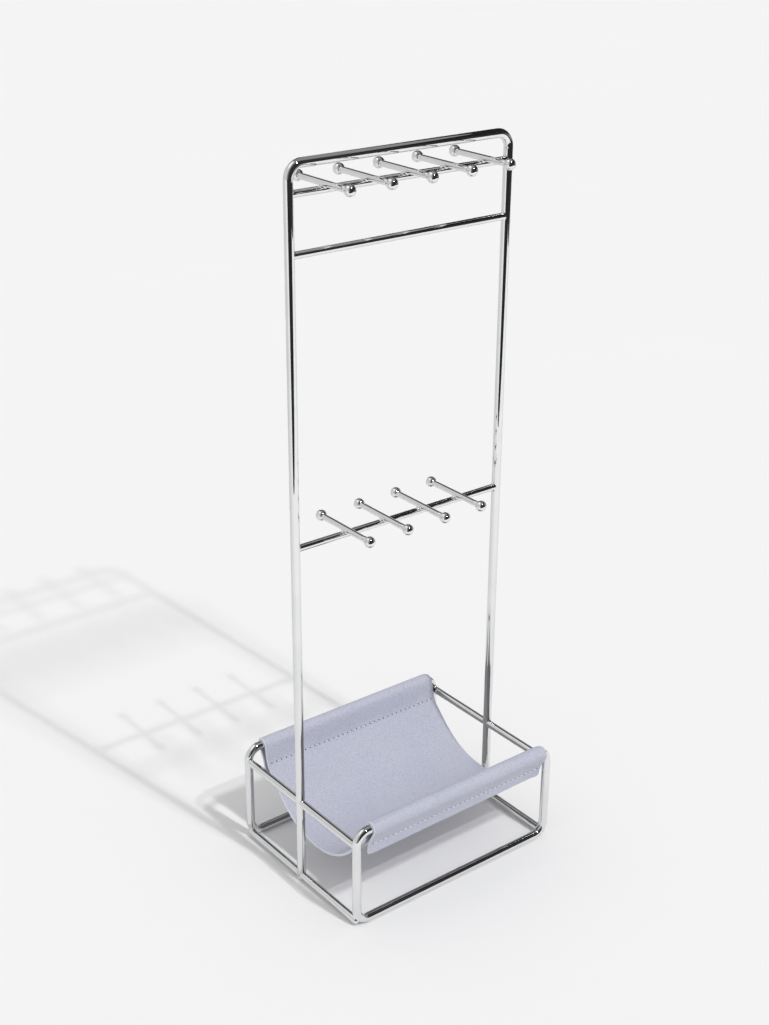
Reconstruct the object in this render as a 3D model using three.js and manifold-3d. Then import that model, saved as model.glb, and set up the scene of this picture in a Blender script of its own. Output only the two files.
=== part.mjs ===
// A free-standing stand of chromed steel wire with a leather hammock tray.
// Millimetres, +Z up. X runs along the tall frame and Y from the front to the rear.
// The origin is on the table, under the middle of the base.

import * as THREE from 'three';
import { mergeVertices } from 'three/addons/utils/BufferGeometryUtils.js';
import Module from 'manifold-3d';

const wasm = await Module();
wasm.setup();

// Wire and ball diameters
const HOOP_WIRE = 4.5;
const RAIL_WIRE = 4;
const BAR_WIRE = 3.5;
const PEG_WIRE = 3;
const BALL = 5.5;

// Overall layout, between centrelines except for the height
const SPAN = 125;
const DEPTH = 94.5;
const HEIGHT = 370;

// Heights of centrelines above the table
const HOOP_TOP = 54;
const UPPER_RAIL = 47;
const LOWER_RAIL = 2.75;
const TOP_PEG_BAR = 354.9;
const PLAIN_BAR = 328.1;
const MID_PEG_BAR = 188.2;

// Bend radii, to the centreline
const HOOP_BEND = 6.8;
const TALL_BEND = 7;

// Pegs: centreline above the bar's, distance between ball centres, and the rows along X
const PEG_LIFT = 2.79;
const PEG_LENGTH = 38.7;
const PEG_ROW_MIDDLE = 1;
const TOP_PEGS = { count: 5, pitch: 22.6 };
const MID_PEGS = { count: 4, pitch: 23 };

// Leather sling: thickness, where it lies along X, and the loop round each top wire
const LEATHER = 1.3;
const SLING_FROM = -53.9;
const SLING_TO = 59.2;
const LOOP_RADIUS = 3.1;
const STITCH_DROP = 10.2;
const STITCH_INSET = 3.9;
const FLAP_DROP = 16.3;
const FLAP_LEAN = 0.6;

// The tray's upper face: height at the middle, and a hanging curve that runs straight higher up
const TRAY_FLOOR = 19.25;
const SAG_RISE = 12.9;
const SAG_WIDTH = 23.4;
const SAG_REACH = 32;

// Gap at each weld and each touching face
const GAP = 0.3;

// Fineness of round shapes
const WIRE_SIDES = 16;
const ROD_SIDES = 14;
const BEND_STEPS = 7;
const BALL_STEPS = 7;
const BALL_SIDES = 14;
const SAG_STEP = 4;

const CHROME = { color: 0xd9dbde, metalness: 1, roughness: 0.08 };
const LILAC_LEATHER = { color: 0xb9bbca, metalness: 0, roughness: 0.6 };

// ---- Solids

function solid(geometry) {
  const bare = geometry.clone();
  bare.deleteAttribute('normal');
  bare.deleteAttribute('uv');
  const merged = mergeVertices(bare);
  return new wasm.Manifold(new wasm.Mesh({
    numProp: 3,
    vertProperties: Float32Array.from(merged.attributes.position.array),
    triVerts: Uint32Array.from(merged.index.array),
  }));
}

function cut(geometry, tools) {
  let piece = solid(geometry);
  for (const tool of tools) {
    piece = piece.subtract(solid(tool));
  }
  const mesh = piece.getMesh();
  const result = new THREE.BufferGeometry();
  result.setAttribute('position', new THREE.BufferAttribute(mesh.vertProperties, 3));
  result.setIndex(new THREE.BufferAttribute(mesh.triVerts, 1));
  result.computeVertexNormals();
  return result;
}

// Radius to the corners of a regular section whose flats touch the round wire
function cornerRadius(diameter, sides) {
  return diameter / 2 / Math.cos(Math.PI / sides);
}

// A straight rod along Y, centred on the origin
function rod(diameter, length) {
  const radius = cornerRadius(diameter, ROD_SIDES);
  return new THREE.CylinderGeometry(radius, radius, length, ROD_SIDES);
}

// ---- Bent wire, in the X-Z plane

// Places along the wire: the ends of each straight run, and steps round each bend
function stations(path, closed) {
  const places = [];
  for (const curve of path.curves) {
    const steps = curve.isLineCurve ? 1 : BEND_STEPS;
    for (let k = 0; k < steps; k++) {
      places.push({ at: curve.getPoint(k / steps), along: curve.getTangent(k / steps) });
    }
  }
  if (!closed) {
    const last = path.curves.at(-1);
    places.push({ at: last.getPoint(1), along: last.getTangent(1) });
  }
  return places;
}

// The corners of the wire's section at one station, with a flat towards the table
function ring({ at, along }, radius) {
  const corners = [];
  for (let k = 0; k < WIRE_SIDES; k++) {
    const angle = ((k + 0.5) / WIRE_SIDES) * 2 * Math.PI;
    const inPlane = radius * Math.cos(angle);
    const across = radius * Math.sin(angle);
    corners.push(at.x - inPlane * along.y, across, at.y + inPlane * along.x);
  }
  return corners;
}

function wire(path, diameter, closed) {
  const radius = cornerRadius(diameter, WIRE_SIDES);
  const rings = stations(path, closed).map((place) => ring(place, radius));
  const faces = [];
  const spans = closed ? rings.length : rings.length - 1;
  for (let i = 0; i < spans; i++) {
    const here = i * WIRE_SIDES;
    const next = ((i + 1) % rings.length) * WIRE_SIDES;
    for (let k = 0; k < WIRE_SIDES; k++) {
      const m = (k + 1) % WIRE_SIDES;
      faces.push(here + k, next + m, here + m, here + k, next + k, next + m);
    }
  }
  if (!closed) {
    const end = spans * WIRE_SIDES;
    for (let k = 1; k < WIRE_SIDES - 1; k++) {
      faces.push(0, k, k + 1, end, end + k + 1, end + k);
    }
  }
  const geometry = new THREE.BufferGeometry();
  geometry.setAttribute('position', new THREE.Float32BufferAttribute(rings.flat(), 3));
  geometry.setIndex(faces);
  geometry.computeVertexNormals();
  return geometry;
}

// A base hoop: a closed rectangle with rounded corners, standing on the table
function baseHoop(diameter) {
  const x = SPAN / 2 - HOOP_BEND;
  const low = HOOP_WIRE / 2 + HOOP_BEND;
  const high = HOOP_TOP - HOOP_BEND;
  const path = new THREE.Path();
  path.moveTo(-x, low - HOOP_BEND);
  path.lineTo(x, low - HOOP_BEND);
  path.absarc(x, low, HOOP_BEND, -Math.PI / 2, 0);
  path.lineTo(x + HOOP_BEND, high);
  path.absarc(x, high, HOOP_BEND, 0, Math.PI / 2);
  path.lineTo(-x, HOOP_TOP);
  path.absarc(-x, high, HOOP_BEND, Math.PI / 2, Math.PI);
  path.lineTo(-x - HOOP_BEND, low);
  path.absarc(-x, low, HOOP_BEND, Math.PI, Math.PI * 1.5);
  return wire(path, diameter, true);
}

// The tall frame: two legs joined by a rounded top, its feet level with the lower rails
function tallHoop() {
  const x = SPAN / 2 - TALL_BEND;
  const foot = LOWER_RAIL - RAIL_WIRE / 2;
  const top = HEIGHT - HOOP_WIRE / 2;
  const path = new THREE.Path();
  path.moveTo(SPAN / 2, foot);
  path.lineTo(SPAN / 2, top - TALL_BEND);
  path.absarc(x, top - TALL_BEND, TALL_BEND, 0, Math.PI / 2);
  path.lineTo(-x, top);
  path.absarc(-x, top - TALL_BEND, TALL_BEND, Math.PI / 2, Math.PI);
  path.lineTo(-SPAN / 2, foot);
  return wire(path, HOOP_WIRE, false);
}

// ---- Rails, bars and pegs

// The room that a leg and its weld take out of the wires that meet it, along Z at x
function legRoom(x) {
  return rod(HOOP_WIRE + 2 * GAP, HEIGHT).rotateX(Math.PI / 2).translate(x, 0, 0);
}

// Half a side rail, from the leg to one base hoop, coped to fit both
function sideRail(side, end, height) {
  const x = (side * SPAN) / 2;
  const reach = DEPTH / 2 - GAP;
  const half = rod(RAIL_WIRE, reach).translate(x, (end * reach) / 2, height);
  const hoopRoom = baseHoop(HOOP_WIRE + 2 * GAP).translate(0, (end * DEPTH) / 2, 0);
  return cut(half, [legRoom(x), hoopRoom]);
}

function pegPlaces({ count, pitch }) {
  return Array.from({ length: count }, (_, k) => PEG_ROW_MIDDLE + (k - (count - 1) / 2) * pitch);
}

// A crossbar along X, coped to the legs and notched where each peg sits on it
function crossbar(places) {
  const notches = places.map((x) => rod(PEG_WIRE + 2 * GAP, SPAN).translate(x, 0, PEG_LIFT));
  const tools = [legRoom(-SPAN / 2), legRoom(SPAN / 2), ...notches];
  return cut(rod(BAR_WIRE, SPAN).rotateZ(Math.PI / 2), tools);
}

// Distance from a ball's centre to the flat where its peg is welded on
const BALL_FLAT = Math.sqrt((BALL / 2) ** 2 - (PEG_WIRE / 2) ** 2);

// A ball with its pole towards -Y and its flat towards +Y
function ball() {
  const radius = BALL / 2;
  const sweep = Math.PI - Math.acos(BALL_FLAT / radius);
  const profile = [new THREE.Vector2(0, -radius)];
  for (let k = 1; k <= BALL_STEPS; k++) {
    const angle = (k / BALL_STEPS) * sweep;
    profile.push(new THREE.Vector2(radius * Math.sin(angle), -radius * Math.cos(angle)));
  }
  profile.push(new THREE.Vector2(0, BALL_FLAT));
  return new THREE.LatheGeometry(profile, BALL_SIDES);
}

// ---- Leather sling

function sagHeight(y) {
  return TRAY_FLOOR + SAG_RISE * (Math.cosh(y / SAG_WIDTH) - 1);
}

// Angle at which a line from a point outside touches a circle, on one side of it
function touchAngle(centre, radius, from, side) {
  const line = from.clone().sub(centre);
  return line.angle() + side * Math.acos(radius / line.length());
}

// The places that shape one end of the sling's section, as y and z on the rear half
function loopPlaces() {
  const stitch = new THREE.Vector2(DEPTH / 2 - STITCH_INSET, HOOP_TOP - STITCH_DROP);
  const flapEnd = HOOP_TOP - FLAP_DROP;
  const wireRoom = HOOP_WIRE / 2 + GAP;
  return {
    centre: new THREE.Vector2(DEPTH / 2, HOOP_TOP + wireRoom - LOOP_RADIUS),
    trayFace: new THREE.Vector2(stitch.x - LEATHER, stitch.y),
    flapFace: new THREE.Vector2(stitch.x + LEATHER, stitch.y),
    flapOuter: new THREE.Vector2(stitch.x + LEATHER + FLAP_LEAN, flapEnd),
    flapInner: new THREE.Vector2(stitch.x + FLAP_LEAN, flapEnd),
    crotch: new THREE.Vector2(stitch.x, stitch.y - LEATHER / 2),
    apex: new THREE.Vector2(stitch.x + LEATHER / 3, stitch.y + LEATHER),
  };
}

// Points from the middle of the tray outwards, on its upper face or a leather thickness below it
function trayFace(depth) {
  const points = [];
  for (let y = 0; y <= SAG_REACH; y += SAG_STEP) {
    const slope = (SAG_RISE / SAG_WIDTH) * Math.sinh(y / SAG_WIDTH);
    const step = depth / Math.hypot(1, slope);
    points.push(new THREE.Vector2(y + slope * step, sagHeight(y) - step));
  }
  return points;
}

// The edge of the rear half's section, from the upper face's middle round to the lower face's
function halfOutline() {
  const place = loopPlaces();
  const outer = LOOP_RADIUS + LEATHER;
  const from = touchAngle(place.centre, outer, place.trayFace, -1);
  const to = touchAngle(place.centre, outer, place.flapFace, 1);
  const turn = new THREE.Path();
  turn.absarc(place.centre.x, place.centre.y, outer, from, to, true);
  return [
    ...trayFace(0),
    place.trayFace,
    ...turn.getPoints(WIRE_SIDES / 2),
    place.flapFace,
    place.flapOuter,
    place.flapInner,
    place.crotch,
    ...trayFace(LEATHER).reverse(),
  ];
}

// The opening in one loop, round the top wire on the front (-1) or the rear (1)
function loopHole(end) {
  const { centre, apex } = loopPlaces();
  const turn = new THREE.Path();
  turn.absarc(
    centre.x,
    centre.y,
    LOOP_RADIUS,
    touchAngle(centre, LOOP_RADIUS, apex, -1),
    touchAngle(centre, LOOP_RADIUS, apex, 1),
    true,
  );
  const points = [apex, ...turn.getPoints(WIRE_SIDES / 2)];
  return new THREE.Path(points.map((p) => new THREE.Vector2(end * p.x, p.y)));
}

function slingGeometry() {
  const half = halfOutline();
  const mirrored = half.slice(1, -1).reverse().map((p) => new THREE.Vector2(-p.x, p.y));
  // Counterclockwise, which lets ExtrudeGeometry set the direction of both holes
  const section = new THREE.Shape([...half, ...mirrored].reverse());
  section.holes.push(loopHole(-1), loopHole(1));
  const geometry = new THREE.ExtrudeGeometry(section, {
    depth: SLING_TO - SLING_FROM,
    bevelEnabled: false,
  });
  const alongX = new THREE.Vector3(1, 0, 0);
  const alongY = new THREE.Vector3(0, 1, 0);
  const alongZ = new THREE.Vector3(0, 0, 1);
  return geometry.applyMatrix4(new THREE.Matrix4().makeBasis(alongY, alongZ, alongX));
}

// ---- The stand

function add(parent, name, geometry, look) {
  const mesh = new THREE.Mesh(geometry, new THREE.MeshStandardMaterial(look));
  mesh.name = name;
  parent.add(mesh);
  return mesh;
}

function addBase(parent) {
  for (const [end, place] of [[-1, 'front'], [1, 'rear']]) {
    add(parent, `base_${place}_hoop`, baseHoop(HOOP_WIRE), CHROME).position.y = (end * DEPTH) / 2;
    for (const [side, hand] of [[-1, 'left'], [1, 'right']]) {
      add(parent, `rail_${hand}_upper_${place}`, sideRail(side, end, UPPER_RAIL), CHROME);
      add(parent, `rail_${hand}_lower_${place}`, sideRail(side, end, LOWER_RAIL), CHROME);
    }
  }
}

function addPeg(parent, name, x) {
  const peg = new THREE.Group();
  peg.position.set(x, 0, PEG_LIFT);
  add(peg, `peg_${name}`, rod(PEG_WIRE, PEG_LENGTH - 2 * (BALL_FLAT + GAP)), CHROME);
  add(peg, `ball_${name}_front`, ball(), CHROME).position.y = -PEG_LENGTH / 2;
  const rear = add(peg, `ball_${name}_rear`, ball(), CHROME);
  rear.position.y = PEG_LENGTH / 2;
  rear.rotation.x = Math.PI;
  parent.add(peg);
}

function addPegBar(parent, row, height, pegs) {
  const bar = new THREE.Group();
  const places = pegPlaces(pegs);
  bar.position.z = height;
  add(bar, `crossbar_${row}`, crossbar(places), CHROME);
  places.forEach((x, k) => addPeg(bar, `${row}_${k + 1}`, x));
  parent.add(bar);
}

function addTallFrame(parent) {
  add(parent, 'tall_hoop', tallHoop(), CHROME);
  addPegBar(parent, 'top', TOP_PEG_BAR, TOP_PEGS);
  add(parent, 'crossbar_plain', crossbar([]), CHROME).position.z = PLAIN_BAR;
  addPegBar(parent, 'mid', MID_PEG_BAR, MID_PEGS);
}

const group = new THREE.Group();
addBase(group);
addTallFrame(group);
add(group, 'sling', slingGeometry(), LILAC_LEATHER).position.x = SLING_FROM;

export default group;
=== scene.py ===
"""A chromed wire jewellery stand with a lilac leather hammock tray, on a pale studio table.

Shapes are worked out in millimetres and turned into metres where each mesh is made. X runs along the tall
frame, Y from the front to the rear, Z up.
"""

import math

import bmesh
import bpy
import numpy as np
from mathutils import Matrix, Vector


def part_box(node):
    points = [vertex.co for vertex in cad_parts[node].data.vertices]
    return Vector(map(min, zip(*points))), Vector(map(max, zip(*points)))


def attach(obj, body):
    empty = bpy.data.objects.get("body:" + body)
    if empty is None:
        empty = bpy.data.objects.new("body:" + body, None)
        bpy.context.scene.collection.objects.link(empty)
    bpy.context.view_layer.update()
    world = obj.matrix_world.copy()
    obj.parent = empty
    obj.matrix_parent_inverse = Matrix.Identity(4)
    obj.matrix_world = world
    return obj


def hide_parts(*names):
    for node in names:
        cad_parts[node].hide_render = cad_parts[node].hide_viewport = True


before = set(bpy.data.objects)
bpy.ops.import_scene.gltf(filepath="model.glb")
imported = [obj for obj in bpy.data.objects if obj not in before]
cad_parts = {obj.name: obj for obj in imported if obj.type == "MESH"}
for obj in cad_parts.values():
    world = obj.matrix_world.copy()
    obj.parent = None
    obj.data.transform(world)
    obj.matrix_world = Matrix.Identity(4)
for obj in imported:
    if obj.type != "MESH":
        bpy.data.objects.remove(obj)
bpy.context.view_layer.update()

FRAME_BODY = "frame"
TRAY_BODY = "tray"

# ---- Sizes, in millimetres

HOOP_RADIUS = 2.25
RAIL_RADIUS = 2.0
BAR_RADIUS = 1.75
PEG_RADIUS = 1.5
BALL_RADIUS = 2.75
HOOP_BEND = 6.8
TALL_BEND = 7.0
RAIL_FILLET = 0.8
FOOT_FILLET = 0.45
BAR_FILLET = 0.75
PEG_FILLET = 0.6
BALL_FILLET = 0.4

SIDES = 40
BEND_STEPS = 20
FILLET_STEPS = 6
RUN_STEP = 12.0

X_AXIS = np.array([1.0, 0, 0])
Y_AXIS = np.array([0, 1.0, 0])
Z_AXIS = np.array([0, 0, 1.0])


def box_mm(node):
    """A CAD node's lowest and highest corners, in millimetres."""
    low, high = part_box(node)
    return np.array(low) * 1000, np.array(high) * 1000


def middle(node):
    low, high = box_mm(node)
    return (low + high) / 2


# ---- Meshes

def unit(v):
    return v / np.linalg.norm(v, axis=-1, keepdims=True)


def make_piece(name, points, faces, materials, face_material=None):
    """A smooth mesh object from points in millimetres."""
    mesh = bpy.data.meshes.new(name)
    mesh.from_pydata([tuple(p) for p in np.asarray(points) / 1000], [], faces)
    for material in materials:
        mesh.materials.append(material)
    if face_material is not None:
        mesh.polygons.foreach_set("material_index", face_material)
    mesh.polygons.foreach_set("use_smooth", [True] * len(mesh.polygons))
    mesh.validate()
    piece = bpy.data.objects.new(name, mesh)
    bpy.context.scene.collection.objects.link(piece)
    turn_outwards(piece)
    return piece


def turn_outwards(piece):
    work = bmesh.new()
    work.from_mesh(piece.data)
    bmesh.ops.recalc_face_normals(work, faces=work.faces)
    work.to_mesh(piece.data)
    work.free()


def skin(rings, closed=False):
    """Points and quads over a run of rings with equal counts, with a fan over each open end."""
    count = len(rings[0])
    points = np.concatenate(rings)
    faces = []
    runs = len(rings) if closed else len(rings) - 1
    for i in range(runs):
        here = i * count
        there = (i + 1) % len(rings) * count
        for k in range(count):
            m = (k + 1) % count
            faces.append((here + k, here + m, there + m, there + k))
    if not closed:
        faces.append(tuple(range(count)))
        faces.append(tuple(range(len(points) - 1, len(points) - 1 - count, -1)))
    return points, faces


def around(a, b, sides=SIDES):
    """Directions all round, from a towards b."""
    turn = np.linspace(0, 2 * math.pi, sides, endpoint=False)[:, None]
    return np.cos(turn) * a + np.sin(turn) * b


def ride_frame(piece, *nodes):
    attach(piece, FRAME_BODY)
    if nodes:
        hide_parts(*nodes)
    return piece


def ride_tray(piece):
    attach(piece, TRAY_BODY)
    return piece


# ---- Camera

CAMERA_AZIMUTH = math.radians(-37.94)
CAMERA_ELEVATION = math.radians(24.12)
CAMERA_ROLL = math.radians(0.31)
CAMERA_PLACE = (-0.4378, -0.5491, 0.5046)
CAMERA_LENS = 55.2


def add_camera():
    data = bpy.data.cameras.new("camera")
    data.sensor_width = 36
    data.lens = CAMERA_LENS
    camera = bpy.data.objects.new("camera", data)
    camera.location = CAMERA_PLACE
    turn = Matrix.Rotation(CAMERA_AZIMUTH, 4, "Z") @ Matrix.Rotation(math.pi / 2 - CAMERA_ELEVATION, 4, "X")
    camera.rotation_euler = (turn @ Matrix.Rotation(CAMERA_ROLL, 4, "Z")).to_euler()
    bpy.context.scene.collection.objects.link(camera)
    bpy.context.scene.camera = camera


# ---- Materials

def tree_math(tree, operation, a, b):
    """A math node of two values, each a number or a socket."""
    node = tree.nodes.new("ShaderNodeMath")
    node.operation = operation
    for value, socket in zip((a, b), node.inputs):
        if isinstance(value, (int, float)):
            socket.default_value = value
        else:
            tree.links.new(value, socket)
    return node.outputs["Value"]


def shiny_ray(tree):
    """1 for what the plating mirrors, else 0."""
    return tree.nodes.new("ShaderNodeLightPath").outputs["Is Glossy Ray"]


class Nodes:
    """A short way to write a material's nodes."""

    def __init__(self, name):
        self.material = bpy.data.materials.new(name)
        self.material.use_nodes = True
        self.tree = self.material.node_tree
        self.shader = self.tree.nodes["Principled BSDF"]

    def add(self, kind, **values):
        node = self.tree.nodes.new(kind)
        for key, value in values.items():
            if key in node.inputs:
                node.inputs[key].default_value = value
            else:
                setattr(node, key, value)
        return node

    def link(self, out, into):
        self.tree.links.new(out, into)

    def place(self, scale=(1, 1, 1)):
        """The piece's own coordinates in metres, stretched by scale."""
        coordinates = self.add("ShaderNodeTexCoord")
        mapping = self.add("ShaderNodeMapping")
        mapping.inputs["Scale"].default_value = scale
        self.link(coordinates.outputs["Object"], mapping.inputs["Vector"])
        return mapping.outputs["Vector"]

    def noise(self, where, scale, detail=2.0, roughness=0.5):
        node = self.add("ShaderNodeTexNoise", Scale=scale, Detail=detail, Roughness=roughness)
        self.link(where, node.inputs["Vector"])
        return node.outputs["Fac"]

    def ramp(self, factor, low, high, start=0.3, end=0.7):
        """low to high as factor goes from start to end; both numbers or both colours."""
        node = self.add("ShaderNodeMapRange" if isinstance(low, float) else "ShaderNodeValToRGB")
        if isinstance(low, float):
            node.inputs["From Min"].default_value = start
            node.inputs["From Max"].default_value = end
            node.inputs["To Min"].default_value = low
            node.inputs["To Max"].default_value = high
            self.link(factor, node.inputs["Value"])
            return node.outputs["Result"]
        node.color_ramp.elements[0].position = start
        node.color_ramp.elements[0].color = (*low, 1)
        node.color_ramp.elements[1].position = end
        node.color_ramp.elements[1].color = (*high, 1)
        self.link(factor, node.inputs["Fac"])
        return node.outputs["Color"]

    def math(self, operation, a, b):
        return tree_math(self.tree, operation, a, b)

    def bump(self, height, distance, strength=1.0, before=None):
        node = self.add("ShaderNodeBump", Strength=strength, Distance=distance)
        self.link(height, node.inputs["Height"])
        if before is not None:
            self.link(before, node.inputs["Normal"])
        return node.outputs["Normal"]

    def set(self, **values):
        """Principled inputs by name, with _ for a space; each a value or a socket."""
        for key, value in values.items():
            socket = self.shader.inputs[key.replace("_", " ")]
            if isinstance(value, bpy.types.NodeSocket):
                self.link(value, socket)
            else:
                socket.default_value = value


def chrome_material(name, grain_scale):
    """Bright plating: nearly a mirror, with slow waves in the wire, a faint haze and draw lines."""
    n = Nodes(name)
    where = n.place()
    drawn = n.place(grain_scale)
    haze = n.noise(where, 60.0, 4.0, 0.6)
    lines = n.noise(drawn, 900.0, 3.0, 0.6)
    n.set(
        Base_Color=n.ramp(haze, (0.86, 0.865, 0.875), (0.93, 0.932, 0.936)),
        Metallic=1.0,
        Roughness=n.ramp(n.math("MULTIPLY", haze, lines), 0.01, 0.04, 0.1, 0.45),
        Normal=n.bump(lines, 0.000004, 0.14, n.bump(n.noise(where, 90.0), 0.0002, 0.14)),
    )
    return n.material


def painted_reflection(n, colour, mirrored):
    """The colour, with what the stand's plating mirrors of it painted deeper and greyer: a painted
    reflection.
    """
    node = n.add("ShaderNodeMix", data_type="RGBA")
    n.link(shiny_ray(n.tree), node.inputs["Factor"])
    n.link(colour, node.inputs[6])
    node.inputs[7].default_value = (*mirrored, 1)
    return node.outputs[2]


def leather_material():
    """Dyed fine-grain leather: pebbles about 0.6 mm across, faint pores and cloudy dye, with painted shade
    in the valleys between pebbles and a painted dark grey reflection in the plating.
    """
    n = Nodes("leather_grain")
    where = n.place()
    clouds = n.noise(where, 45.0, 3.0, 0.55)
    fine = n.noise(where, 2600.0, 3.0, 0.65)
    pebbles = n.add("ShaderNodeTexVoronoi", feature="SMOOTH_F1", Scale=1500.0, Smoothness=0.35)
    n.link(where, pebbles.inputs["Vector"])
    ground = n.ramp(clouds, (0.510, 0.524, 0.621), (0.528, 0.541, 0.636), 0.35, 0.65)
    # Painted shade: the valleys between the grain's pebbles are painted darker.
    painted_grain_shade = n.ramp(pebbles.outputs["Distance"], (1.0, 1.0, 1.0), (0.84, 0.84, 0.87), 0.3, 0.75)
    colour = n.add("ShaderNodeMix", data_type="RGBA", blend_type="MULTIPLY")
    colour.inputs["Factor"].default_value = 1.0
    n.link(ground, colour.inputs[6])
    n.link(painted_grain_shade, colour.inputs[7])
    relief = n.bump(fine, 0.00007, 0.6, n.bump(pebbles.outputs["Distance"], 0.0002, 0.8))
    n.set(
        # Painted reflection: the leather shows a dark grey in the stand's plating.
        Base_Color=painted_reflection(n, colour.outputs[2], (0.20, 0.20, 0.205)),
        Roughness=n.ramp(n.math("ADD", clouds, fine), 0.48, 0.62, 0.7, 1.3),
        Specular_IOR_Level=0.42,
        Sheen_Weight=0.10,
        Sheen_Roughness=0.45,
        Normal=relief,
    )
    return n.material


def flesh_material():
    """The leather's back: the same dye on a short, matt nap, with a painted dark grey reflection in the
    plating.
    """
    n = Nodes("leather_back")
    where = n.place()
    nap = n.noise(where, 1800.0, 6.0, 0.75)
    clouds = n.noise(where, 70.0, 3.0)
    dyed = n.ramp(n.math("MULTIPLY", nap, clouds), (0.36, 0.365, 0.45), (0.46, 0.465, 0.55), 0.12, 0.4)
    n.set(
        # Painted reflection: the back shows a darker grey in the stand's plating.
        Base_Color=painted_reflection(n, dyed, (0.14, 0.14, 0.145)),
        Roughness=n.ramp(nap, 0.8, 0.95),
        Sheen_Weight=0.35,
        Sheen_Roughness=0.6,
        Normal=n.bump(nap, 0.0002, 0.6),
    )
    return n.material


def cut_edge_material():
    """The leather's cut edge: paler fibres in layers through the thickness."""
    n = Nodes("leather_cut_edge")
    where = n.place()
    fibres = n.noise(where, 3200.0, 5.0, 0.7)
    n.set(
        Base_Color=n.ramp(fibres, (0.66, 0.67, 0.76), (0.80, 0.81, 0.87)),
        Roughness=n.ramp(fibres, 0.6, 0.8),
        Normal=n.bump(fibres, 0.0001, 0.5),
    )
    return n.material


def thread_material():
    """Bonded thread in the leather's colour, with the twist of its plies."""
    n = Nodes("thread")
    where = n.place()
    twist = n.add("ShaderNodeTexWave", Scale=900.0, Distortion=1.5, Detail=1.0, bands_direction="DIAGONAL")
    n.link(where, twist.inputs["Vector"])
    n.set(
        Base_Color=n.ramp(twist.outputs["Fac"], (0.53, 0.54, 0.64), (0.71, 0.72, 0.81), 0.2, 0.8),
        Roughness=n.ramp(twist.outputs["Fac"], 0.5, 0.7, 0.2, 0.8),
        Sheen_Weight=0.2,
        Normal=n.bump(twist.outputs["Fac"], 0.0001, 0.6),
    )
    return n.material


def hole_material():
    """The inside of a needle hole, painted dark: painted shade."""
    n = Nodes("needle_hole")
    # Painted shade: a dark disc stands for the shadow inside the hole.
    n.set(
        Base_Color=n.ramp(n.noise(n.place(), 2500.0), (0.09, 0.09, 0.125), (0.17, 0.17, 0.22)),
        Roughness=n.ramp(n.noise(n.place(), 1200.0), 0.85, 1.0),
    )
    return n.material


# ---- Bent wires

def loop_rings(stations, y, radius):
    """Rings round a wire in the X-Z plane at y; a station is x, z and the angle it runs at."""
    rings = []
    for x, z, course in stations:
        inwards = np.array([-math.sin(course), 0, math.cos(course)])
        rings.append(np.array([x, y, z]) + radius * around(inwards, Y_AXIS))
    return rings


def bend(x, z, radius, start):
    """Stations round a quarter turn about (x, z), counterclockwise from the angle start."""
    turn = np.linspace(start, start + math.pi / 2, BEND_STEPS + 1)
    return [(x + radius * math.cos(a), z + radius * math.sin(a), a + math.pi / 2) for a in turn]


def along(a, b, course):
    """Stations on the straight run between two points, without its ends."""
    (x0, z0), (x1, z1) = a, b
    count = max(1, round(math.dist(a, b) / RUN_STEP))
    return [
        (x0 + (x1 - x0) * k / count, z0 + (z1 - z0) * k / count, course)
        for k in range(1, count)
    ]


def joined(corners, closed):
    """Bends with the straight runs between them."""
    stations = []
    for k, corner in enumerate(corners):
        stations += corner
        following = corners[(k + 1) % len(corners)]
        if closed or k + 1 < len(corners):
            stations += along(corner[-1][:2], following[0][:2], corner[-1][2])
    return stations


def add_base_hoop(node, chrome):
    low, high = box_mm(node)
    x = high[0] - HOOP_RADIUS - HOOP_BEND
    bottom = low[2] + HOOP_RADIUS + HOOP_BEND
    top = high[2] - HOOP_RADIUS - HOOP_BEND
    quarter = math.pi / 2
    corners = [
        bend(x, bottom, HOOP_BEND, -quarter),
        bend(x, top, HOOP_BEND, 0),
        bend(-x, top, HOOP_BEND, quarter),
        bend(-x, bottom, HOOP_BEND, 2 * quarter),
    ]
    rings = loop_rings(joined(corners, True), middle(node)[1], HOOP_RADIUS)
    piece = make_piece(f"wire_{node}", *skin(rings, closed=True), [chrome])
    return ride_frame(piece, node)


FOOT_DEPTH = 0.4
FOOT_ROUND = 0.7


def foot_steps(z):
    """Steps that round off a leg's foot: each one's height and how much smaller its ring is."""
    turn = np.linspace(math.pi / 2, 0, 6)
    return [(z + FOOT_ROUND * (1 - math.sin(a)), FOOT_ROUND * (1 - math.cos(a))) for a in turn]


def add_tall_hoop(chrome):
    low, high = box_mm("tall_hoop")
    x = high[0] - HOOP_RADIUS
    top = high[2] - HOOP_RADIUS - TALL_BEND
    foot = low[2] - FOOT_DEPTH
    corners = [bend(x - TALL_BEND, top, TALL_BEND, 0), bend(-x + TALL_BEND, top, TALL_BEND, math.pi / 2)]
    up, down = math.pi / 2, 1.5 * math.pi
    stations = along((x, foot + FOOT_ROUND), (x, top), up)
    stations += joined(corners, False)
    stations += along((-x, top), (-x, foot + FOOT_ROUND), down)
    y = middle("tall_hoop")[1]
    rings = loop_rings(stations, y, HOOP_RADIUS)
    steps = foot_steps(foot)
    first = [loop_rings([(x, z, up)], y, HOOP_RADIUS - less)[0] for z, less in steps]
    last = [loop_rings([(-x, z, down)], y, HOOP_RADIUS - less)[0] for z, less in steps[::-1]]
    piece = make_piece("wire_tall_hoop", *skin(first + rings + last), [chrome])
    return ride_frame(piece, "tall_hoop")


# ---- Rods and their welds

SINK = 0.1
LOWER_RAIL_TIP = 0.9
TIP_HOLE = 0.12


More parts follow.
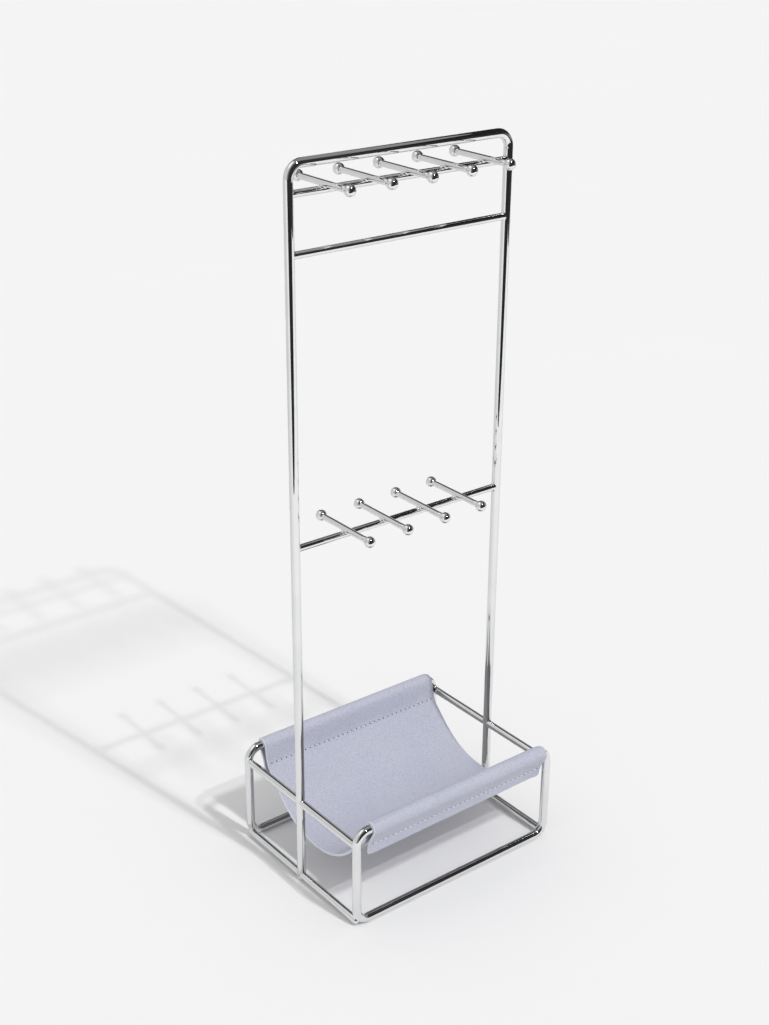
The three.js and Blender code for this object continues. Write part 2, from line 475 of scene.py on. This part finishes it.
def arc_rings(centre, start, end, radius):
    """Rings stepping round arcs about a ring of centres, from the ring start to the ring end."""
    a, b = unit(start - centre), unit(end - centre)
    angle = np.arccos(np.clip((a * b).sum(axis=1, keepdims=True), -1, 1))
    rings = []
    for t in np.linspace(0, 1, FILLET_STEPS + 1):
        mix = (np.sin((1 - t) * angle) * a + np.sin(t * angle) * b) / np.sin(angle)
        rings.append(centre + radius * mix)
    return rings


def welded_end(meet, out, side, radius, fillet):
    """Rings of the weld where a rod meets an upright hoop wire, from the rod's skin to the wire's.

    meet is where the two axes cross, and out runs along the rod. The weld's arc touches both skins.
    """
    radial = around(side, Z_AXIS)
    aside = (radial @ side)[:, None] * (radius + fillet)
    reach = np.sqrt((HOOP_RADIUS + fillet) ** 2 - aside ** 2)
    centre = meet + reach * out + (radius + fillet) * radial
    foot = meet + (centre - meet) * Z_AXIS
    towards = unit(centre - foot)
    on_rod = meet + reach * out + radius * radial
    rings = arc_rings(centre, on_rod, foot + HOOP_RADIUS * towards, fillet)
    return rings + [foot + (HOOP_RADIUS - SINK) * towards]


def domed_end(tip, out, side, radius):
    """Rings over a rod's round end; out points from the tip back along the rod."""
    return [
        tip + radius * ((1 - math.cos(a)) * out + math.sin(a) * around(side, Z_AXIS))
        for a in np.linspace(math.pi / 2, TIP_HOLE, 9)
    ]


def rod_between(name, first, last, chrome):
    """A rod joining the rings of its two ends; each list runs outwards from the rod."""
    start, end = first[0], last[0]
    count = 5
    between = [start + (end - start) * k / count for k in range(1, count)]
    return make_piece(name, *skin(first[::-1] + between + last), [chrome])


def leg_x():
    return box_mm("tall_hoop")[1][0] - HOOP_RADIUS


def add_upper_rail(hand, side, place, chrome):
    node = f"rail_{hand}_upper_{place}"
    hoop_y = middle(f"base_{place}_hoop")[1]
    height = middle(node)[2]
    out = Y_AXIS * np.sign(hoop_y)
    leg, hoop = np.array([side * leg_x(), 0, height]), np.array([side * leg_x(), hoop_y, height])
    first = welded_end(leg, out, X_AXIS, RAIL_RADIUS, RAIL_FILLET)
    last = welded_end(hoop, -out, X_AXIS, RAIL_RADIUS, RAIL_FILLET)
    ride_frame(rod_between(f"wire_{node}", first, last, chrome), node)


def add_lower_rail(hand, side, place, chrome):
    """Half a lower rail: welded to the leg's foot, with a round end laid on the hoop's bend."""
    node = f"rail_{hand}_lower_{place}"
    hoop_y = middle(f"base_{place}_hoop")[1]
    height = middle(node)[2]
    out = Y_AXIS * np.sign(hoop_y)
    first = welded_end(np.array([side * leg_x(), 0, height]), out, X_AXIS, RAIL_RADIUS, FOOT_FILLET)
    tip = np.array([side * leg_x(), hoop_y, height]) + out * LOWER_RAIL_TIP
    last = domed_end(tip, -out, X_AXIS, RAIL_RADIUS)
    ride_frame(rod_between(f"wire_{node}", first, last, chrome), node)


def add_rails(chrome):
    for hand, side in (("left", -1), ("right", 1)):
        for place in ("front", "rear"):
            add_upper_rail(hand, side, place, chrome)
            add_lower_rail(hand, side, place, chrome)


def add_crossbar(row, chrome):
    height = middle(f"crossbar_{row}")[2]
    ends = [
        welded_end(np.array([side * leg_x(), 0, height]), -side * X_AXIS, Y_AXIS, BAR_RADIUS, BAR_FILLET)
        for side in (-1, 1)
    ]
    ride_frame(rod_between(f"wire_crossbar_{row}", *ends, chrome), f"crossbar_{row}")


# ---- Pegs and balls

POLE_HOLE = 0.06
BALL_SIDES = 32


def add_peg(row, number, chrome):
    """A peg rod; its ends are inside its balls."""
    node = f"peg_{row}_{number}"
    centre = middle(node)
    reach = middle(f"ball_{row}_{number}_rear")[1]
    rings = [
        centre + y * Y_AXIS + PEG_RADIUS * around(X_AXIS, Z_AXIS)
        for y in np.linspace(-reach, reach, 9)
    ]
    ride_frame(make_piece(f"wire_{node}", *skin(rings), [chrome]), node)
    add_saddle_weld(row, number, centre, chrome)


def add_saddle_weld(row, number, peg, chrome):
    """The weld round the place where a peg lies across its bar, hollowed like the other welds."""
    bar = np.array([peg[0], 0, middle(f"crossbar_{row}")[2]])
    lift = peg[2] - bar[2]
    over, beside = PEG_RADIUS + PEG_FILLET, BAR_RADIUS + PEG_FILLET
    widest = math.acos((lift - beside) / over)
    half = widest * np.sin(np.linspace(-math.pi / 2, math.pi / 2, SIDES // 2, endpoint=False))
    swing = np.concatenate([half, -half])
    front = np.repeat([1.0, -1.0], len(half))
    x = over * np.sin(swing)
    z = lift - over * np.cos(swing)
    y = front * np.sqrt(np.maximum(beside ** 2 - z ** 2, 0))
    centre = bar + np.stack([x, y, z], axis=1)
    peg_axis = np.stack([np.full_like(x, peg[0]), y, np.full_like(x, peg[2])], axis=1)
    bar_axis = np.stack([peg[0] + x, np.zeros_like(x), np.full_like(x, bar[2])], axis=1)
    on_peg = peg_axis + PEG_RADIUS * unit(centre - peg_axis)
    on_bar = bar_axis + BAR_RADIUS * unit(centre - bar_axis)
    rings = arc_rings(centre, on_peg, on_bar, PEG_FILLET)
    rings.insert(0, peg_axis + (PEG_RADIUS - SINK) * unit(centre - peg_axis))
    rings.append(bar_axis + (BAR_RADIUS - SINK) * unit(centre - bar_axis))
    ride_frame(make_piece(f"weld_{row}_{number}", *skin(rings), [chrome]))


def ball_profile():
    """Distance from the axis and place along it, from a ball's pole over its weld to the rod."""
    aside = PEG_RADIUS + BALL_FILLET
    far = math.sqrt((BALL_RADIUS + BALL_FILLET) ** 2 - aside ** 2)
    edge = math.atan2(aside, -far)
    skin_turn = np.linspace(POLE_HOLE, edge, 26)
    weld_turn = np.linspace(edge - math.pi, -math.pi / 2, FILLET_STEPS + 1)[1:]
    ball = [(BALL_RADIUS * math.sin(a), -BALL_RADIUS * math.cos(a)) for a in skin_turn]
    weld = [(aside + BALL_FILLET * math.sin(a), far - BALL_FILLET * math.cos(a)) for a in weld_turn]
    return ball + weld


def add_ball(row, number, place, side, chrome):
    node = f"ball_{row}_{number}_{place}"
    peg = middle(f"peg_{row}_{number}")
    low, high = box_mm(node)
    tip = low[1] if side < 0 else high[1]
    centre = np.array([peg[0], tip - side * BALL_RADIUS, peg[2]])
    rings = [
        centre - side * place_on_axis * Y_AXIS + distance * around(X_AXIS, Z_AXIS, BALL_SIDES)
        for distance, place_on_axis in ball_profile()
    ]
    ride_frame(make_piece(f"round_{node}", *skin(rings), [chrome]), node)


def add_peg_row(row, count, chrome):
    for number in range(1, count + 1):
        add_peg(row, number, chrome)
        add_ball(row, number, "front", -1, chrome)
        add_ball(row, number, "rear", 1, chrome)


# ---- Leather sling

LEATHER = 1.3
LOOP_GAP = 0.2
STITCH_DROP = 10.2
STITCH_INSET = 3.9
FLAP_DROP = 16.3
FLAP_LEAN = 0.7
FLAP_SLOPE = 0.7
PLY_GAP = 1.3
FLAP_CORNER = 2.0
TRAY_FLOOR = 19.25
TRAY_TILT = 1.6
SAG_RISE = 12.9
SAG_WIDTH = 23.4
SAG_REACH = 32.0
EDGE_ROUND = 0.28
STITCH_PITCH = 3.1
STITCH_MARGIN = 2.3
FINE_STEP = 0.35
COARSE_STEP = 1.1
FINE_REACH = 2.6
LOOP_EASE = 1.0
SEAM_EASE = 2.4
SEAM_REACH = 3.5
EASE_STEP = 0.15
WAVE_EASE_ROWS = 12
COLUMNS_PER_STITCH = 5
CHANNEL_DEPTH, CHANNEL_WIDTH, CHANNEL_END = 0.13, 0.75, 0.6
DIMPLE_DEPTH, DIMPLE_WIDTH = 0.22, 0.5
RIM_LEVELS = (0.92, 0.7, 0.35, 0, -0.35, -0.7, -0.92)

# The tray's slow waves: height, radians to a metre along X and along Y, and phase
WAVES = ((0.35, 61, 38, 0.7), (0.25, 93, -71, 2.1))


def loop_droop(x):
    """How far the leather over the top wires drops where it rides onto the wires' bends."""
    past = np.clip(abs(x) - (leg_x() - HOOP_BEND), 0, HOOP_BEND)
    return HOOP_BEND - math.sqrt(HOOP_BEND ** 2 - past ** 2)


def touch_angle(centre, radius, place, side):
    """Where a line from a place outside touches a circle, on one side of it."""
    line = place - centre
    return math.atan2(line[1], line[0]) + side * math.acos(radius / math.hypot(*line))


def sag_height(y, floor, top):
    """The sheet's height above the table in the tray: a hanging curve, straight near the stitches."""
    def rise(v):
        return SAG_RISE * (np.cosh(np.minimum(v, SAG_REACH) / SAG_WIDTH) - 1)

    stitch_y = middle("base_rear_hoop")[1] - STITCH_INSET - LEATHER / 2
    at_reach = TRAY_FLOOR + rise(SAG_REACH)
    slope = (top - at_reach) / (stitch_y - SAG_REACH)
    nominal = TRAY_FLOOR + rise(y) + slope * np.maximum(y - SAG_REACH, 0)
    return floor + (nominal - TRAY_FLOOR) * (top - floor) / (top - TRAY_FLOOR)


def spread_steps(length, fine_start, fine_end):
    """Places along a length, close together near the ends that ask for it."""
    places, at = [0.0], 0.0
    while True:
        near = min(at if fine_start else length, length - at if fine_end else length)
        step = FINE_STEP if near < FINE_REACH else COARSE_STEP
        if at + 1.5 * step > length:
            break
        at += step
        places.append(at)
    return np.array(places + [length]) / length


def resampled(points, shares):
    """A line's points again, at these shares of its length."""
    points = np.array(points)
    run = lengths_along(points)
    return np.stack([np.interp(shares * run[-1], run, points[:, k]) for k in range(2)], axis=1)


def lengths_along(line):
    return np.concatenate([[0], np.cumsum(np.linalg.norm(np.diff(line, axis=0), axis=1))])


def tray_line(x, stitches):
    """The tray's middle line from its lowest place to the stitches."""
    y = np.linspace(0, stitches[0], 80)
    floor = TRAY_FLOOR - LEATHER / 2 + TRAY_TILT * x / leg_x()
    return np.stack([y, sag_height(y, floor, stitches[1])], axis=1)


def loop_line(centre, inner, outer):
    """The middle line from the inner ply at the stitches, over the wire, to the outer ply."""
    radius = HOOP_RADIUS + LOOP_GAP + LEATHER / 2
    start = touch_angle(centre, radius, inner, -1) + 2 * math.pi
    turn = np.linspace(start, touch_angle(centre, radius, outer, 1), 40)
    over_wire = centre + radius * np.stack([np.cos(turn), np.sin(turn)], axis=1)
    return np.concatenate([[inner], over_wire, [outer]])


def half_section(x):
    """The sheet's middle line at x, as y and z on the rear half: tray, loop round the wire, flap."""
    wire = middle("base_rear_hoop")[1]
    top_wire = box_mm("base_rear_hoop")[1][2] - HOOP_RADIUS
    droop = loop_droop(x)
    inner = np.array([wire - STITCH_INSET - LEATHER / 2, top_wire - STITCH_DROP - 0.5 * droop])
    outer = inner + [LEATHER + PLY_GAP, 0]
    flap_drop = FLAP_DROP - STITCH_DROP - FLAP_SLOPE * x / leg_x()
    loop = loop_line(np.array([wire, top_wire - droop]), inner, outer)
    return tray_line(x, inner), loop, np.array([outer, outer + [-FLAP_LEAN, -flap_drop]])


def section_rows():
    """Shares of length for the rows on the tray, the loop and the flap; the same at every x."""
    tray, loop, flap = [lengths_along(part)[-1] for part in half_section(0.0)]
    return [spread_steps(tray, False, True), spread_steps(loop, True, True), spread_steps(flap, True, True)]


def smoothed(line, reach):
    """The line with its kinks eased over a given length; its two ends stay."""
    run = lengths_along(line)
    even = np.arange(0, run[-1], EASE_STEP)
    fine = np.stack([np.interp(even, run, line[:, k]) for k in range(2)], axis=1)
    span = int(3 * reach / EASE_STEP)
    weight = np.exp(-0.5 * (np.arange(-span, span + 1) * EASE_STEP / reach) ** 2)
    weight /= weight.sum()
    before = 2 * fine[0] - fine[span:0:-1]
    after = 2 * fine[-1] - fine[-2:-span - 2:-1]
    padded = np.concatenate([before, fine, after])
    eased = np.stack([np.convolve(padded[:, k], weight, "valid") for k in range(2)], axis=1)
    return np.stack([np.interp(run, even, eased[:, k]) for k in range(2)], axis=1)


def softened(line, seams):
    """The line eased a little everywhere, and more where a seam lets the leather bend slowly."""
    run = lengths_along(line)
    tight, loose = smoothed(line, LOOP_EASE), smoothed(line, SEAM_EASE)
    near = sum(np.exp(-((run - run[seam]) / SEAM_REACH) ** 2) for seam in seams)
    return tight + (loose - tight) * np.clip(near, 0, 1)[:, None]


def sheet_columns():
    """Places across the sheet along X, and where the needle holes are."""
    low, high = box_mm("sling")
    length = high[0] - low[0] - 2 * STITCH_MARGIN
    stitches = round(length / STITCH_PITCH)
    holes = np.linspace(low[0] + STITCH_MARGIN, high[0] - STITCH_MARGIN, stitches + 1)
    inside = np.linspace(holes[0], holes[-1], stitches * COLUMNS_PER_STITCH + 1)
    left = np.linspace(low[0], holes[0], COLUMNS_PER_STITCH + 1)[:-1]
    right = np.linspace(holes[-1], high[0], COLUMNS_PER_STITCH + 1)[1:]
    return np.concatenate([left, inside, right]), holes


def sheet_grid(columns):
    """The sheet's middle surface and grain-side normals, by column and row, and the stitch rows."""
    rows = section_rows()
    inner = len(rows[0]) - 1
    outer = inner + len(rows[1]) - 1
    surface, normals = [], []
    for x in columns:
        parts = [resampled(part, share) for part, share in zip(half_section(x), rows)]
        rear = softened(np.concatenate([parts[0], parts[1][1:], parts[2][1:]]), (inner, outer))
        front = rear[:0:-1] * [-1, 1]
        line = np.concatenate([front, rear])
        tangent = unit(np.gradient(line, axis=0))
        surface.append(np.insert(line, 0, x, axis=1))
        normals.append(np.stack([np.zeros(len(line)), -tangent[:, 1], tangent[:, 0]], axis=1))
    centre = len(front)
    stitch_rows = [centre - outer, centre - inner, centre + inner, centre + outer]
    return np.array(surface), np.array(normals), stitch_rows


def waves(surface, stitch_rows):
    """Slow hand-made unevenness of the tray's leather, none where it is held by the wires."""
    x, y = surface[..., 0] / 1000, surface[..., 1] / 1000
    slow = sum(height * np.sin(by_x * x + by_y * y + phase) for height, by_x, by_y, phase in WAVES)
    held = np.ones(surface.shape[1])
    held[: stitch_rows[1]] = 0
    held[stitch_rows[2] + 1:] = 0
    free = np.arange(surface.shape[1])
    ease = np.minimum(free - stitch_rows[1], stitch_rows[2] - free) / WAVE_EASE_ROWS
    return slow * held * np.clip(ease, 0, 1)


def round_corners(surface, columns):
    """Pulls in the ends of the rows near each flap's lower edge, so its corners are round."""
    from_front = lengths_along(surface[0])
    from_rear = from_front[-1] - from_front
    below = np.clip(FLAP_CORNER - np.minimum(from_front, from_rear), 0, FLAP_CORNER)
    inset = FLAP_CORNER - np.sqrt(FLAP_CORNER ** 2 - below ** 2)
    middle_x = (columns[0] + columns[-1]) / 2
    half = (columns[-1] - columns[0]) / 2
    scale = 1 - inset / half
    surface[..., 0] = middle_x + (surface[..., 0] - middle_x) * scale


def pucker(surface, columns, holes, stitch_rows):
    """How far the thread pulls the leather in: a shallow channel with a dimple at each hole."""
    depth = np.zeros(surface.shape[:2])
    beside = np.abs(columns[:, None] - holes).min(axis=1)
    inside = (columns > holes[0] - CHANNEL_END) & (columns < holes[-1] + CHANNEL_END)
    place = lengths_along(surface[0])
    for row in stitch_rows:
        away = place - place[row]
        channel = CHANNEL_DEPTH * np.exp(-(away / CHANNEL_WIDTH) ** 2)
        dimple = DIMPLE_DEPTH * np.exp(-(away / DIMPLE_WIDTH) ** 2)
        depth += inside[:, None] * (channel + dimple * np.exp(-(beside[:, None] / DIMPLE_WIDTH) ** 2))
    return depth


def edge_loop(count_x, count_s):
    """The grid places round the sheet's edge, in order."""
    bottom = [(i, 0) for i in range(count_x)]
    right = [(count_x - 1, j) for j in range(1, count_s)]
    top = [(i, count_s - 1) for i in range(count_x - 2, -1, -1)]
    left = [(0, j) for j in range(count_s - 2, 0, -1)]
    return bottom + right + top + left


def sheet_faces(count_x, count_s, start, flip):
    faces = []
    for i in range(count_x - 1):
        for j in range(count_s - 1):
            a = start + i * count_s + j
            quad = (a, a + count_s, a + count_s + 1, a + 1)
            faces.append(quad[::-1] if flip else quad)
    return faces


def rim_lines(surface, normals, edge):
    """Lines round the sheet's cut edge, from near its grain side to near its back, slightly rounded."""
    index = tuple(np.array(edge).T)
    line, up = surface[index], normals[index]
    outwards = unit(np.cross(np.roll(line, -1, axis=0) - np.roll(line, 1, axis=0), up))
    return [line + up * LEATHER / 2 * t + outwards * EDGE_ROUND * (1 - abs(t) ** 3) for t in RIM_LEVELS]


def rim_faces(edge, count_s, sheet):
    """Quads round the cut edge, from the grain side's points through the rim's to the back's."""
    count = len(edge)
    levels = [[i * count_s + j for i, j in edge]]
    levels += [[2 * sheet + k * count + m for m in range(count)] for k in range(len(RIM_LEVELS))]
    levels += [[sheet + i * count_s + j for i, j in edge]]
    return [
        (upper[m], upper[(m + 1) % count], lower[(m + 1) % count], lower[m])
        for upper, lower in zip(levels, levels[1:])
        for m in range(count)
    ]


def add_sling(grain, flesh, cut_edge):
    """The leather sheet; also gives its grain side's grid, where the stitches lie."""
    columns, holes = sheet_columns()
    surface, normals, stitch_rows = sheet_grid(columns)
    surface += normals * waves(surface, stitch_rows)[..., None]
    depth = pucker(surface, columns, holes, stitch_rows)
    round_corners(surface, columns)
    top = surface + normals * (LEATHER / 2 - depth)[..., None]
    back = surface - normals * (LEATHER / 2)
    count_x, count_s = surface.shape[:2]
    sheet = count_x * count_s
    edge = edge_loop(count_x, count_s)
    points = np.concatenate([top.reshape(-1, 3), back.reshape(-1, 3), *rim_lines(surface, normals, edge)])
    sides = [
        sheet_faces(count_x, count_s, 0, False),
        sheet_faces(count_x, count_s, sheet, True),
        rim_faces(edge, count_s, sheet),
    ]
    looks = [look for look, faces in enumerate(sides) for _ in faces]
    piece = ride_tray(make_piece("leather_sling", points, sum(sides, []), [grain, flesh, cut_edge], looks))
    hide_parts("sling")
    return piece, top, normals, stitch_rows, columns, holes


# ---- Stitches

THREAD_RADIUS = 0.3
THREAD_FLAT = 0.85
THREAD_SIDES = 10
THREAD_DIVE = 0.3
THREAD_RISE = 0.46
THREAD_STEEPNESS = 3.2
THREAD_CURVE = 0.6
THREAD_SHORT = 0.2
HOLE_RADIUS = 0.4
HOLE_SIDES = 12
HOLE_LIP = 0.18
HOLE_DEPTH = 0.2


def row_point(grid, columns, row, x):
    """A grid value on one row at any x."""
    return np.array([np.interp(x, columns, grid[:, row, k]) for k in range(3)])


def stitch_rings(grid, normals, columns, row, start, end):
    """A stitch: thread that rises out of one hole, lies along the leather and dives into the next."""
    rings = []
    for share in np.linspace(0, 1, 11):
        x = start + (end - start) * share
        at = row_point(grid, columns, row, x)
        up = unit(row_point(normals, columns, row, x))
        risen = min(1.0, THREAD_STEEPNESS * min(share, 1 - share)) ** THREAD_CURVE
        lift = THREAD_RISE * risen - THREAD_DIVE
        across = np.cross(X_AXIS, up)
        rings.append(at + lift * up + THREAD_RADIUS * around(across, THREAD_FLAT * up, THREAD_SIDES))
    return rings


def joined_skins(parts):
    """Points and faces of several runs of rings as one."""
    points, faces = [], []
    for rings in parts:
        more, quads = skin(rings)
        offset = sum(len(p) for p in points)
        points.append(more)
        faces += [tuple(offset + k for k in quad) for quad in quads]
    return np.concatenate(points), faces


def add_stitches(name, grid, normals, columns, row, holes, thread):
    stitches = [
        stitch_rings(grid, normals, columns, row, start + THREAD_SHORT, end - THREAD_SHORT)
        for start, end in zip(holes, holes[1:])
    ]
    return ride_tray(make_piece(f"stitches_{name}", *joined_skins(stitches), [thread]))


def add_holes(name, grid, normals, columns, row, holes, dark):
    """A needle hole at each end of each stitch."""
    cones = []
    for x in holes:
        at = row_point(grid, columns, row, x)
        up = unit(row_point(normals, columns, row, x))
        ring = HOLE_RADIUS * around(X_AXIS, np.cross(X_AXIS, up), HOLE_SIDES)
        cones.append([at + HOLE_LIP * up + ring, at - HOLE_DEPTH * up + 0.5 * ring])
    return ride_tray(make_piece(f"needle_holes_{name}", *joined_skins(cones), [dark]))


# ---- Stage and light, in metres

FLOOR_LIGHT = 0.904
AMBIENT = 0.68
LAMP_POWER = 14.8
KEY_PLACE = (0.13, -1.18, 1.8)
KEY_RADIUS = 0.08
KEY_SHARE = 0.66
LOW_PLACE = (0.15, -1.35, 1.67)
LOW_RADIUS = 0.02
TABLE_TURN = -38
TABLE_FRONT = 0.54
TABLE_RIGHT = 1.25
TABLE_DIMMED, DIM_FROM, DIM_TO = 0.72, -0.35, 0.4
FLAG_LIFT = 0.001
CARD_AWAY = 0.42
CARD_HALF = 0.5
CARD_LOW = 0.42
CARD_HIGH = 0.82
ROOM_REACH = 6.0
ROOM_GREY = 0.25
ROOM_SHADE = 0.22
REAR_WALL = 0.4
LEFT_WALL = 0.62
CEILING_GAIN = 0.4
BAND_SHADE = 0.95


def heading(degrees):
    """The level direction at an azimuth; 0 is the front, 90 the right."""
    return np.array([math.sin(math.radians(degrees)), -math.cos(math.radians(degrees)), 0])


def raised(degrees, up):
    """A heading turned up from the level."""
    return heading(degrees) * math.cos(math.radians(up)) + Z_AXIS * math.sin(math.radians(up))


# Parts of the room: the way to each, and the cosines from that way where it starts and where it is full
REAR_LEFT = (heading(-148), 0.0, 0.2)
FULL_LEFT = (heading(-97), 0.02, 0.16)
REAR = (heading(180), 0.2, 0.5)
BELOW_CEILING = (-Z_AXIS, -0.5, -0.3)
OVERHEAD = (Z_AXIS, 0.66, 0.86)
DARK_FRONT = (raised(5, 15), 0.6, 0.8)
DARK_BAND = (raised(157, 37), 0.955, 0.985)


def stage_sheet(name, polygons, material):
    """A stage piece of flat polygons, each a list of corners in metres."""
    mesh = bpy.data.meshes.new(name)
    corners = [tuple(corner) for polygon in polygons for corner in polygon]
    faces, at = [], 0
    for polygon in polygons:
        faces.append(tuple(range(at, at + len(polygon))))
        at += len(polygon)
    mesh.from_pydata(corners, [], faces)
    mesh.materials.append(material)
    piece = bpy.data.objects.new(name, mesh)
    bpy.context.scene.collection.objects.link(piece)
    return piece


def add_floor():
    """A plain pale table. What the plating mirrors of it is painted a little dimmer towards the rear: a
    painted reflection.
    """
    n = Nodes("pale_floor")
    where = n.place()
    mottle = n.noise(where, 3.0, 4.0)
    split = n.add("ShaderNodeSeparateXYZ")
    n.link(where, split.inputs["Vector"])
    # Painted reflection: the table is dimmed towards the rear only where the plating mirrors it.
    dimmer = n.ramp(split.outputs["Y"], 1.0, TABLE_DIMMED, DIM_FROM, DIM_TO)
    seen = n.add("ShaderNodeMix", data_type="FLOAT")
    n.link(shiny_ray(n.tree), seen.inputs["Factor"])
    seen.inputs[2].default_value = 1.0
    n.link(dimmer, seen.inputs[3])
    pale = n.ramp(mottle, (0.855, 0.855, 0.855), (0.865, 0.865, 0.865))
    colour = n.add("ShaderNodeVectorMath", operation="SCALE")
    n.link(pale, colour.inputs[0])
    n.link(seen.outputs[0], colour.inputs["Scale"])
    n.set(Base_Color=colour.outputs["Vector"], Roughness=n.ramp(mottle, 0.62, 0.7), Specular_IOR_Level=0.0)
    turn = np.linspace(0, 2 * math.pi, 96, endpoint=False)
    disc = [(ROOM_REACH * math.cos(a), ROOM_REACH * math.sin(a), 0) for a in turn]
    stage_sheet("floor", [disc], n.material)


def add_dark_flags():
    """The dark room past the table's edges and a raised card on the right, seen only in the plating."""
    n = Nodes("dark_room")
    n.set(
        Base_Color=n.ramp(n.noise(n.place(), 2.0), (0.012, 0.012, 0.013), (0.035, 0.035, 0.036)),
        Roughness=0.9,
        Specular_IOR_Level=0.0,
    )
    towards, across, left = heading(TABLE_TURN), heading(TABLE_TURN + 90), heading(TABLE_TURN - 20)
    lift = FLAG_LIFT * Z_AXIS
    corner = left * TABLE_FRONT / (left @ towards)
    front = [
        corner,
        left * ROOM_REACH,
        towards * ROOM_REACH,
        towards * ROOM_REACH + across * ROOM_REACH,
        towards * TABLE_FRONT + across * ROOM_REACH,
    ]
    right = [
        across * TABLE_RIGHT + towards * ROOM_REACH,
        across * ROOM_REACH + towards * ROOM_REACH,
        across * ROOM_REACH - towards * ROOM_REACH,
        across * TABLE_RIGHT - towards * ROOM_REACH,
    ]
    card = [
        (CARD_AWAY, -CARD_HALF, CARD_LOW),
        (CARD_AWAY, CARD_HALF, CARD_LOW),
        (CARD_AWAY, CARD_HALF, CARD_HIGH),
        (CARD_AWAY, -CARD_HALF, CARD_HIGH),
    ]
    sheets = [[c + lift for c in front], [c + 2 * lift for c in right], card]
    flags = stage_sheet("dark_flags", sheets, n.material)
    flags.visible_camera = False
    flags.visible_diffuse = False
    flags.visible_shadow = False
    flags.visible_transmission = False


def add_lamp(name, place, radius, share):
    """A round studio lamp; its falloff is undone, so that it lights the whole table evenly."""
    data = bpy.data.lights.new(name, "POINT")
    data.shadow_soft_size = radius
    data.use_nodes = True
    tree = data.node_tree
    emission = tree.nodes["Emission"]
    falloff = tree.nodes.new("ShaderNodeLightFalloff")
    falloff.inputs["Strength"].default_value = 1 / place[2]
    path = tree.nodes.new("ShaderNodeLightPath")
    slant = tree_math(tree, "MULTIPLY", falloff.outputs["Constant"], path.outputs["Ray Length"])
    tree.links.new(slant, emission.inputs["Strength"])
    data.energy = LAMP_POWER * share
    lamp = bpy.data.objects.new(name, data)
    lamp.location = place
    bpy.context.scene.collection.objects.link(lamp)


def eased(tree, value, low, high):
    """0 below low, 1 above high, smooth between."""
    node = tree.nodes.new("ShaderNodeMapRange")
    node.interpolation_type = "SMOOTHSTEP"
    node.inputs["From Min"].default_value = low
    node.inputs["From Max"].default_value = high
    tree.links.new(value, node.inputs["Value"])
    return node.outputs["Result"]


def facing(tree, towards, low, high):
    """How far the ray points one way: the cosine of the angle between, eased from low to high."""
    node = tree.nodes.new("ShaderNodeVectorMath")
    node.operation = "DOT_PRODUCT"
    tree.links.new(tree.nodes.new("ShaderNodeTexCoord").outputs["Generated"], node.inputs[0])
    node.inputs[1].default_value = towards
    return eased(tree, node.outputs["Value"], low, high)


def room_light(tree):
    """The room in the plating: a pale wall on the left, a dimmer one behind, dark to the front.

    A dark band hangs high on the right of the rear wall.
    """
    def times(a, b):
        return tree_math(tree, "MULTIPLY", a, b)

    left = times(facing(tree, *REAR_LEFT), facing(tree, *FULL_LEFT))
    behind = times(facing(tree, *REAR), facing(tree, *BELOW_CEILING))
    band = times(facing(tree, *DARK_BAND), BAND_SHADE)
    shade = tree_math(tree, "MAXIMUM", facing(tree, *DARK_FRONT), band)
    grey = tree_math(tree, "SUBTRACT", ROOM_GREY, times(shade, ROOM_SHADE))
    rear = tree_math(tree, "MAXIMUM", grey, times(behind, REAR_WALL))
    wall = tree_math(tree, "ADD", times(facing(tree, *OVERHEAD), CEILING_GAIN), LEFT_WALL)
    return tree_math(tree, "MAXIMUM", rear, times(left, wall))


def add_world():
    """Even white light on the table and the leather, and the room for the plating to show."""
    world = bpy.data.worlds.new("studio")
    bpy.context.scene.world = world
    world.use_nodes = True
    tree = world.node_tree
    path = tree.nodes.new("ShaderNodeLightPath")
    shiny = path.outputs["Is Glossy Ray"]
    backdrop = tree_math(tree, "MULTIPLY", path.outputs["Is Camera Ray"], FLOOR_LIGHT - AMBIENT)
    plain = tree_math(tree, "ADD", backdrop, AMBIENT)
    dull = tree_math(tree, "MULTIPLY", plain, tree_math(tree, "SUBTRACT", 1.0, shiny))
    mirrored = tree_math(tree, "MULTIPLY", room_light(tree), shiny)
    tree.links.new(tree_math(tree, "ADD", dull, mirrored), tree.nodes["Background"].inputs["Strength"])
    tree.nodes["Background"].inputs["Color"].default_value = (1, 1, 1, 1)


# ---- The scene

PEG_ROWS = {"top": 5, "mid": 4}


def add_wires():
    chrome_x = chrome_material("chrome_along_x", (0.02, 1, 1))
    chrome_y = chrome_material("chrome_along_y", (1, 0.02, 1))
    chrome_z = chrome_material("chrome_along_z", (1, 1, 0.02))
    for place in ("front", "rear"):
        add_base_hoop(f"base_{place}_hoop", chrome_x)
    add_tall_hoop(chrome_z)
    add_rails(chrome_y)
    for row in ("top", "plain", "mid"):
        add_crossbar(row, chrome_x)
    for row, count in PEG_ROWS.items():
        add_peg_row(row, count, chrome_y)


def add_leather():
    """The sling with its stitches and needle holes, all on the tray body."""
    sling, grid, normals, stitch_rows, columns, holes = add_sling(
        leather_material(), flesh_material(), cut_edge_material()
    )
    thread, dark = thread_material(), hole_material()
    for name, row in zip(("front_flap", "front_tray", "rear_tray", "rear_flap"), stitch_rows):
        add_stitches(name, grid, normals, columns, row, holes, thread)
        add_holes(name, grid, normals, columns, row, holes, dark)


def add_studio():
    add_camera()
    add_floor()
    add_dark_flags()
    add_lamp("key", KEY_PLACE, KEY_RADIUS, KEY_SHARE)
    add_lamp("low", LOW_PLACE, LOW_RADIUS, 1 - KEY_SHARE)
    add_world()
    bpy.context.scene.view_settings.view_transform = "Standard"


add_wires()
add_leather()
add_studio()
